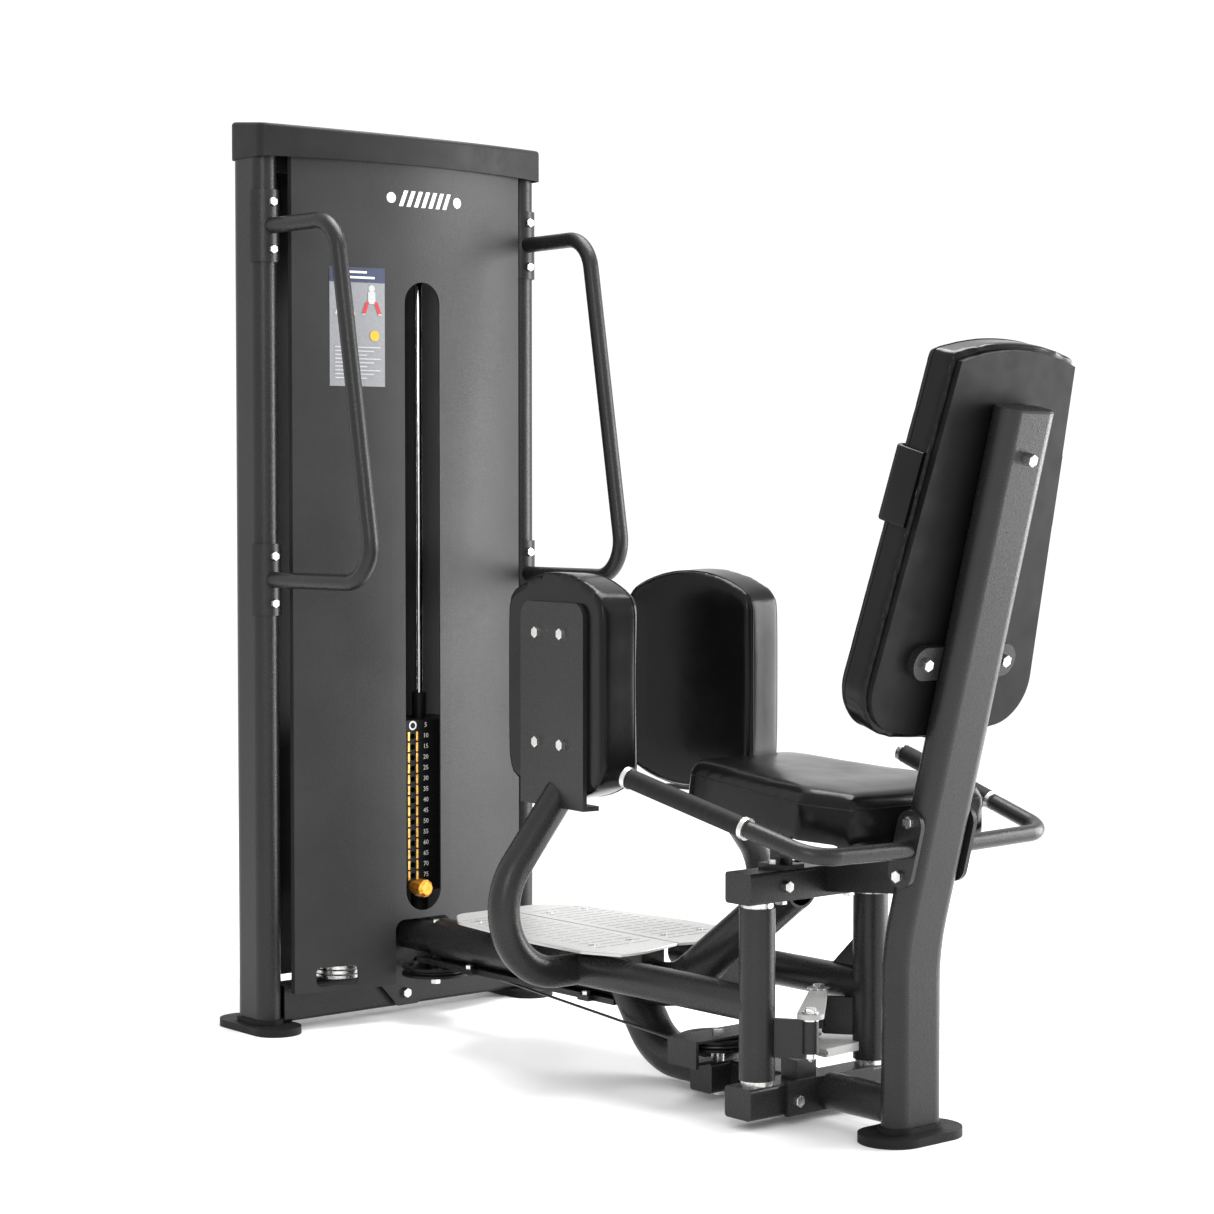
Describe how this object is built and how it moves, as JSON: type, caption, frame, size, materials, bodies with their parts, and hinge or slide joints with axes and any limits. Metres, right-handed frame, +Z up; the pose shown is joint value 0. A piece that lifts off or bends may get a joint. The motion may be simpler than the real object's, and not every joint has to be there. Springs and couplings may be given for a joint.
{
  "type": "hip abductor machine",
  "caption": "Seated hip abductor gym machine with a weight tower, padded leg arms, seat, back rest, foot plates and cable drive.",
  "frame": {"origin": "on the floor under the centre of the bounding box, arms closed", "axes": "+Y from the seat towards the weight tower, +Z up, +X to the right when seen from the seat"},
  "size_m": [0.696, 1.7325, 1.6962],
  "materials": {
    "powder_coat": "fine-textured satin charcoal powder coat",
    "tower_shell": "fine-textured satin charcoal powder coat",
    "zinc": "bright zinc plate",
    "chrome_rod": "polished chrome",
    "foot_plate": "brushed, engraved lines",
    "pad_vinyl": "smooth black synthetic leather",
    "board": "black board",
    "foot_rubber": "matt black",
    "grip_rubber": "matt black foam grip",
    "cap_plastic": "moulded, fine grain",
    "stack_paint": "black painted plates",
    "insert_gold": "amber-gold inlay",
    "knob": "orange-gold knob",
    "link_grey": "light grey",
    "pulley": "black nylon",
    "cable_coat": "black nylon sheath"
  },
  "bodies": {
    "frame": {"tower_post_left": "powder_coat", "tower_post_right": "powder_coat", "tower_base_beam": "powder_coat", "tower_top_beam": "powder_coat", "top_cap": "cap_plastic", "front_panel": "tower_shell", "rear_panel": "tower_shell", "rubber_feet": "foot_rubber", "guide_rods": "chrome_rod", "stack_bumpers": "foot_rubber", "assist_handle_left": "powder_coat", "assist_handle_right": "powder_coat", "beam_flange": "powder_coat", "main_beam": "powder_coat", "beam_strip": "powder_coat", "j_tube": "powder_coat", "foot_plate_left": "foot_plate", "foot_plate_right": "foot_plate", "foot_plate_brackets": "powder_coat", "pulley_beam": "powder_coat", "pulley_housing": "powder_coat", "lower_pivot_beam": "powder_coat", "upper_pivot_beam": "powder_coat", "rear_base_beam": "powder_coat", "pivot_shafts": "chrome_rod", "seat_upright": "powder_coat", "handle_brackets": "powder_coat", "seat_pad": "pad_vinyl", "seat_support": "powder_coat", "back_board": "board", "back_pad": "pad_vinyl", "back_lugs": "powder_coat", "side_handles": "powder_coat", "hand_grips": "grip_rubber", "grip_collars": "zinc", "cable": "cable_coat", "frame_bolts": "zinc"},
    "left_arm_body": {"left_arm": "powder_coat", "left_pad_tube": "powder_coat", "left_pad_plate": "powder_coat", "left_thigh_pad": "pad_vinyl", "left_arm_bolts": "zinc"},
    "right_arm_body": {"right_arm": "powder_coat", "right_pad_tube": "powder_coat", "right_pad_plate": "powder_coat", "right_thigh_pad": "pad_vinyl", "right_arm_bolts": "zinc", "cable_cam": "link_grey", "cam_cable": "cable_coat"},
    "link_body": {"link_bar": "link_grey"},
    "stack_body": {"head_plate": "stack_paint", "weight_plates": "stack_paint", "plate_inserts": "insert_gold", "selector_rod": "stack_paint", "cable_drop": "cable_coat"},
    "pin_body": {"selector_pin": "knob"},
    "beam_pulley_body": {"beam_pulley": "pulley"},
    "tower_pulley_body": {"tower_pulley": "pulley"},
    "base_pulley_body": {"base_pulley": "pulley"},
    "top_pulley_body": {"top_pulley": "pulley"}
  },
  "joints": [
    {"name": "left_arm_swing", "type": "hinge", "parent": "frame", "child": "left_arm_body", "pos_m": [-0.1284, -0.406, 0.2], "axis": [0, 0, 1], "range_deg": [0, 40]},
    {"name": "right_arm_swing", "type": "hinge", "parent": "frame", "child": "right_arm_body", "pos_m": [0.1284, -0.406, 0.2], "axis": [0, 0, 1], "range_deg": [-40, 0]},
    {"name": "link_swing", "type": "hinge", "parent": "left_arm_body", "child": "link_body", "pos_m": [-0.07846, -0.47601, 0.181], "axis": [0, 0, 1], "range_deg": [-49.3, 0]},
    {"name": "stack_lift", "type": "slide", "parent": "frame", "child": "stack_body", "axis": [0, 0, 1], "range_m": [0, 0.0768], "deforming": ["cable_drop"]},
    {"name": "pin_slide", "type": "slide", "parent": "stack_body", "child": "pin_body", "axis": [0, -1, 0], "range_m": [0, 0.056]},
    {"name": "beam_pulley_spin", "type": "hinge", "parent": "frame", "child": "beam_pulley_body", "pos_m": [-0.045, -0.224, 0.098], "axis": [0, 0, 1], "range_deg": [0, 73.5]},
    {"name": "tower_pulley_spin", "type": "hinge", "parent": "frame", "child": "tower_pulley_body", "pos_m": [0, 0.621, 0.098], "axis": [0, 0, 1], "range_deg": [-73.5, 0]},
    {"name": "base_pulley_spin", "type": "hinge", "parent": "frame", "child": "base_pulley_body", "pos_m": [-0.00225, 0.76794, 0.14], "axis": [0.9063, 0.4226, 0], "range_deg": [-105, 0]},
    {"name": "top_pulley_spin", "type": "hinge", "parent": "frame", "child": "top_pulley_body", "pos_m": [-0.01, 0.77425, 1.56], "axis": [-0.9538, -0.3004, 0], "range_deg": [0, 132.5]}
  ],
  "couplings": [
    {"joint": "right_arm_swing", "follows": "left_arm_swing", "ratio": -1},
    {"joint": "link_swing", "follows": "left_arm_swing", "ratio": -1.232},
    {"joint": "stack_lift", "follows": "left_arm_swing", "m_per_rad": 0.11},
    {"joint": "beam_pulley_spin", "follows": "left_arm_swing", "ratio": 1.8333},
    {"joint": "tower_pulley_spin", "follows": "left_arm_swing", "ratio": -1.8333},
    {"joint": "base_pulley_spin", "follows": "left_arm_swing", "ratio": -2.6191},
    {"joint": "top_pulley_spin", "follows": "left_arm_swing", "ratio": 3.3045}
  ]
}
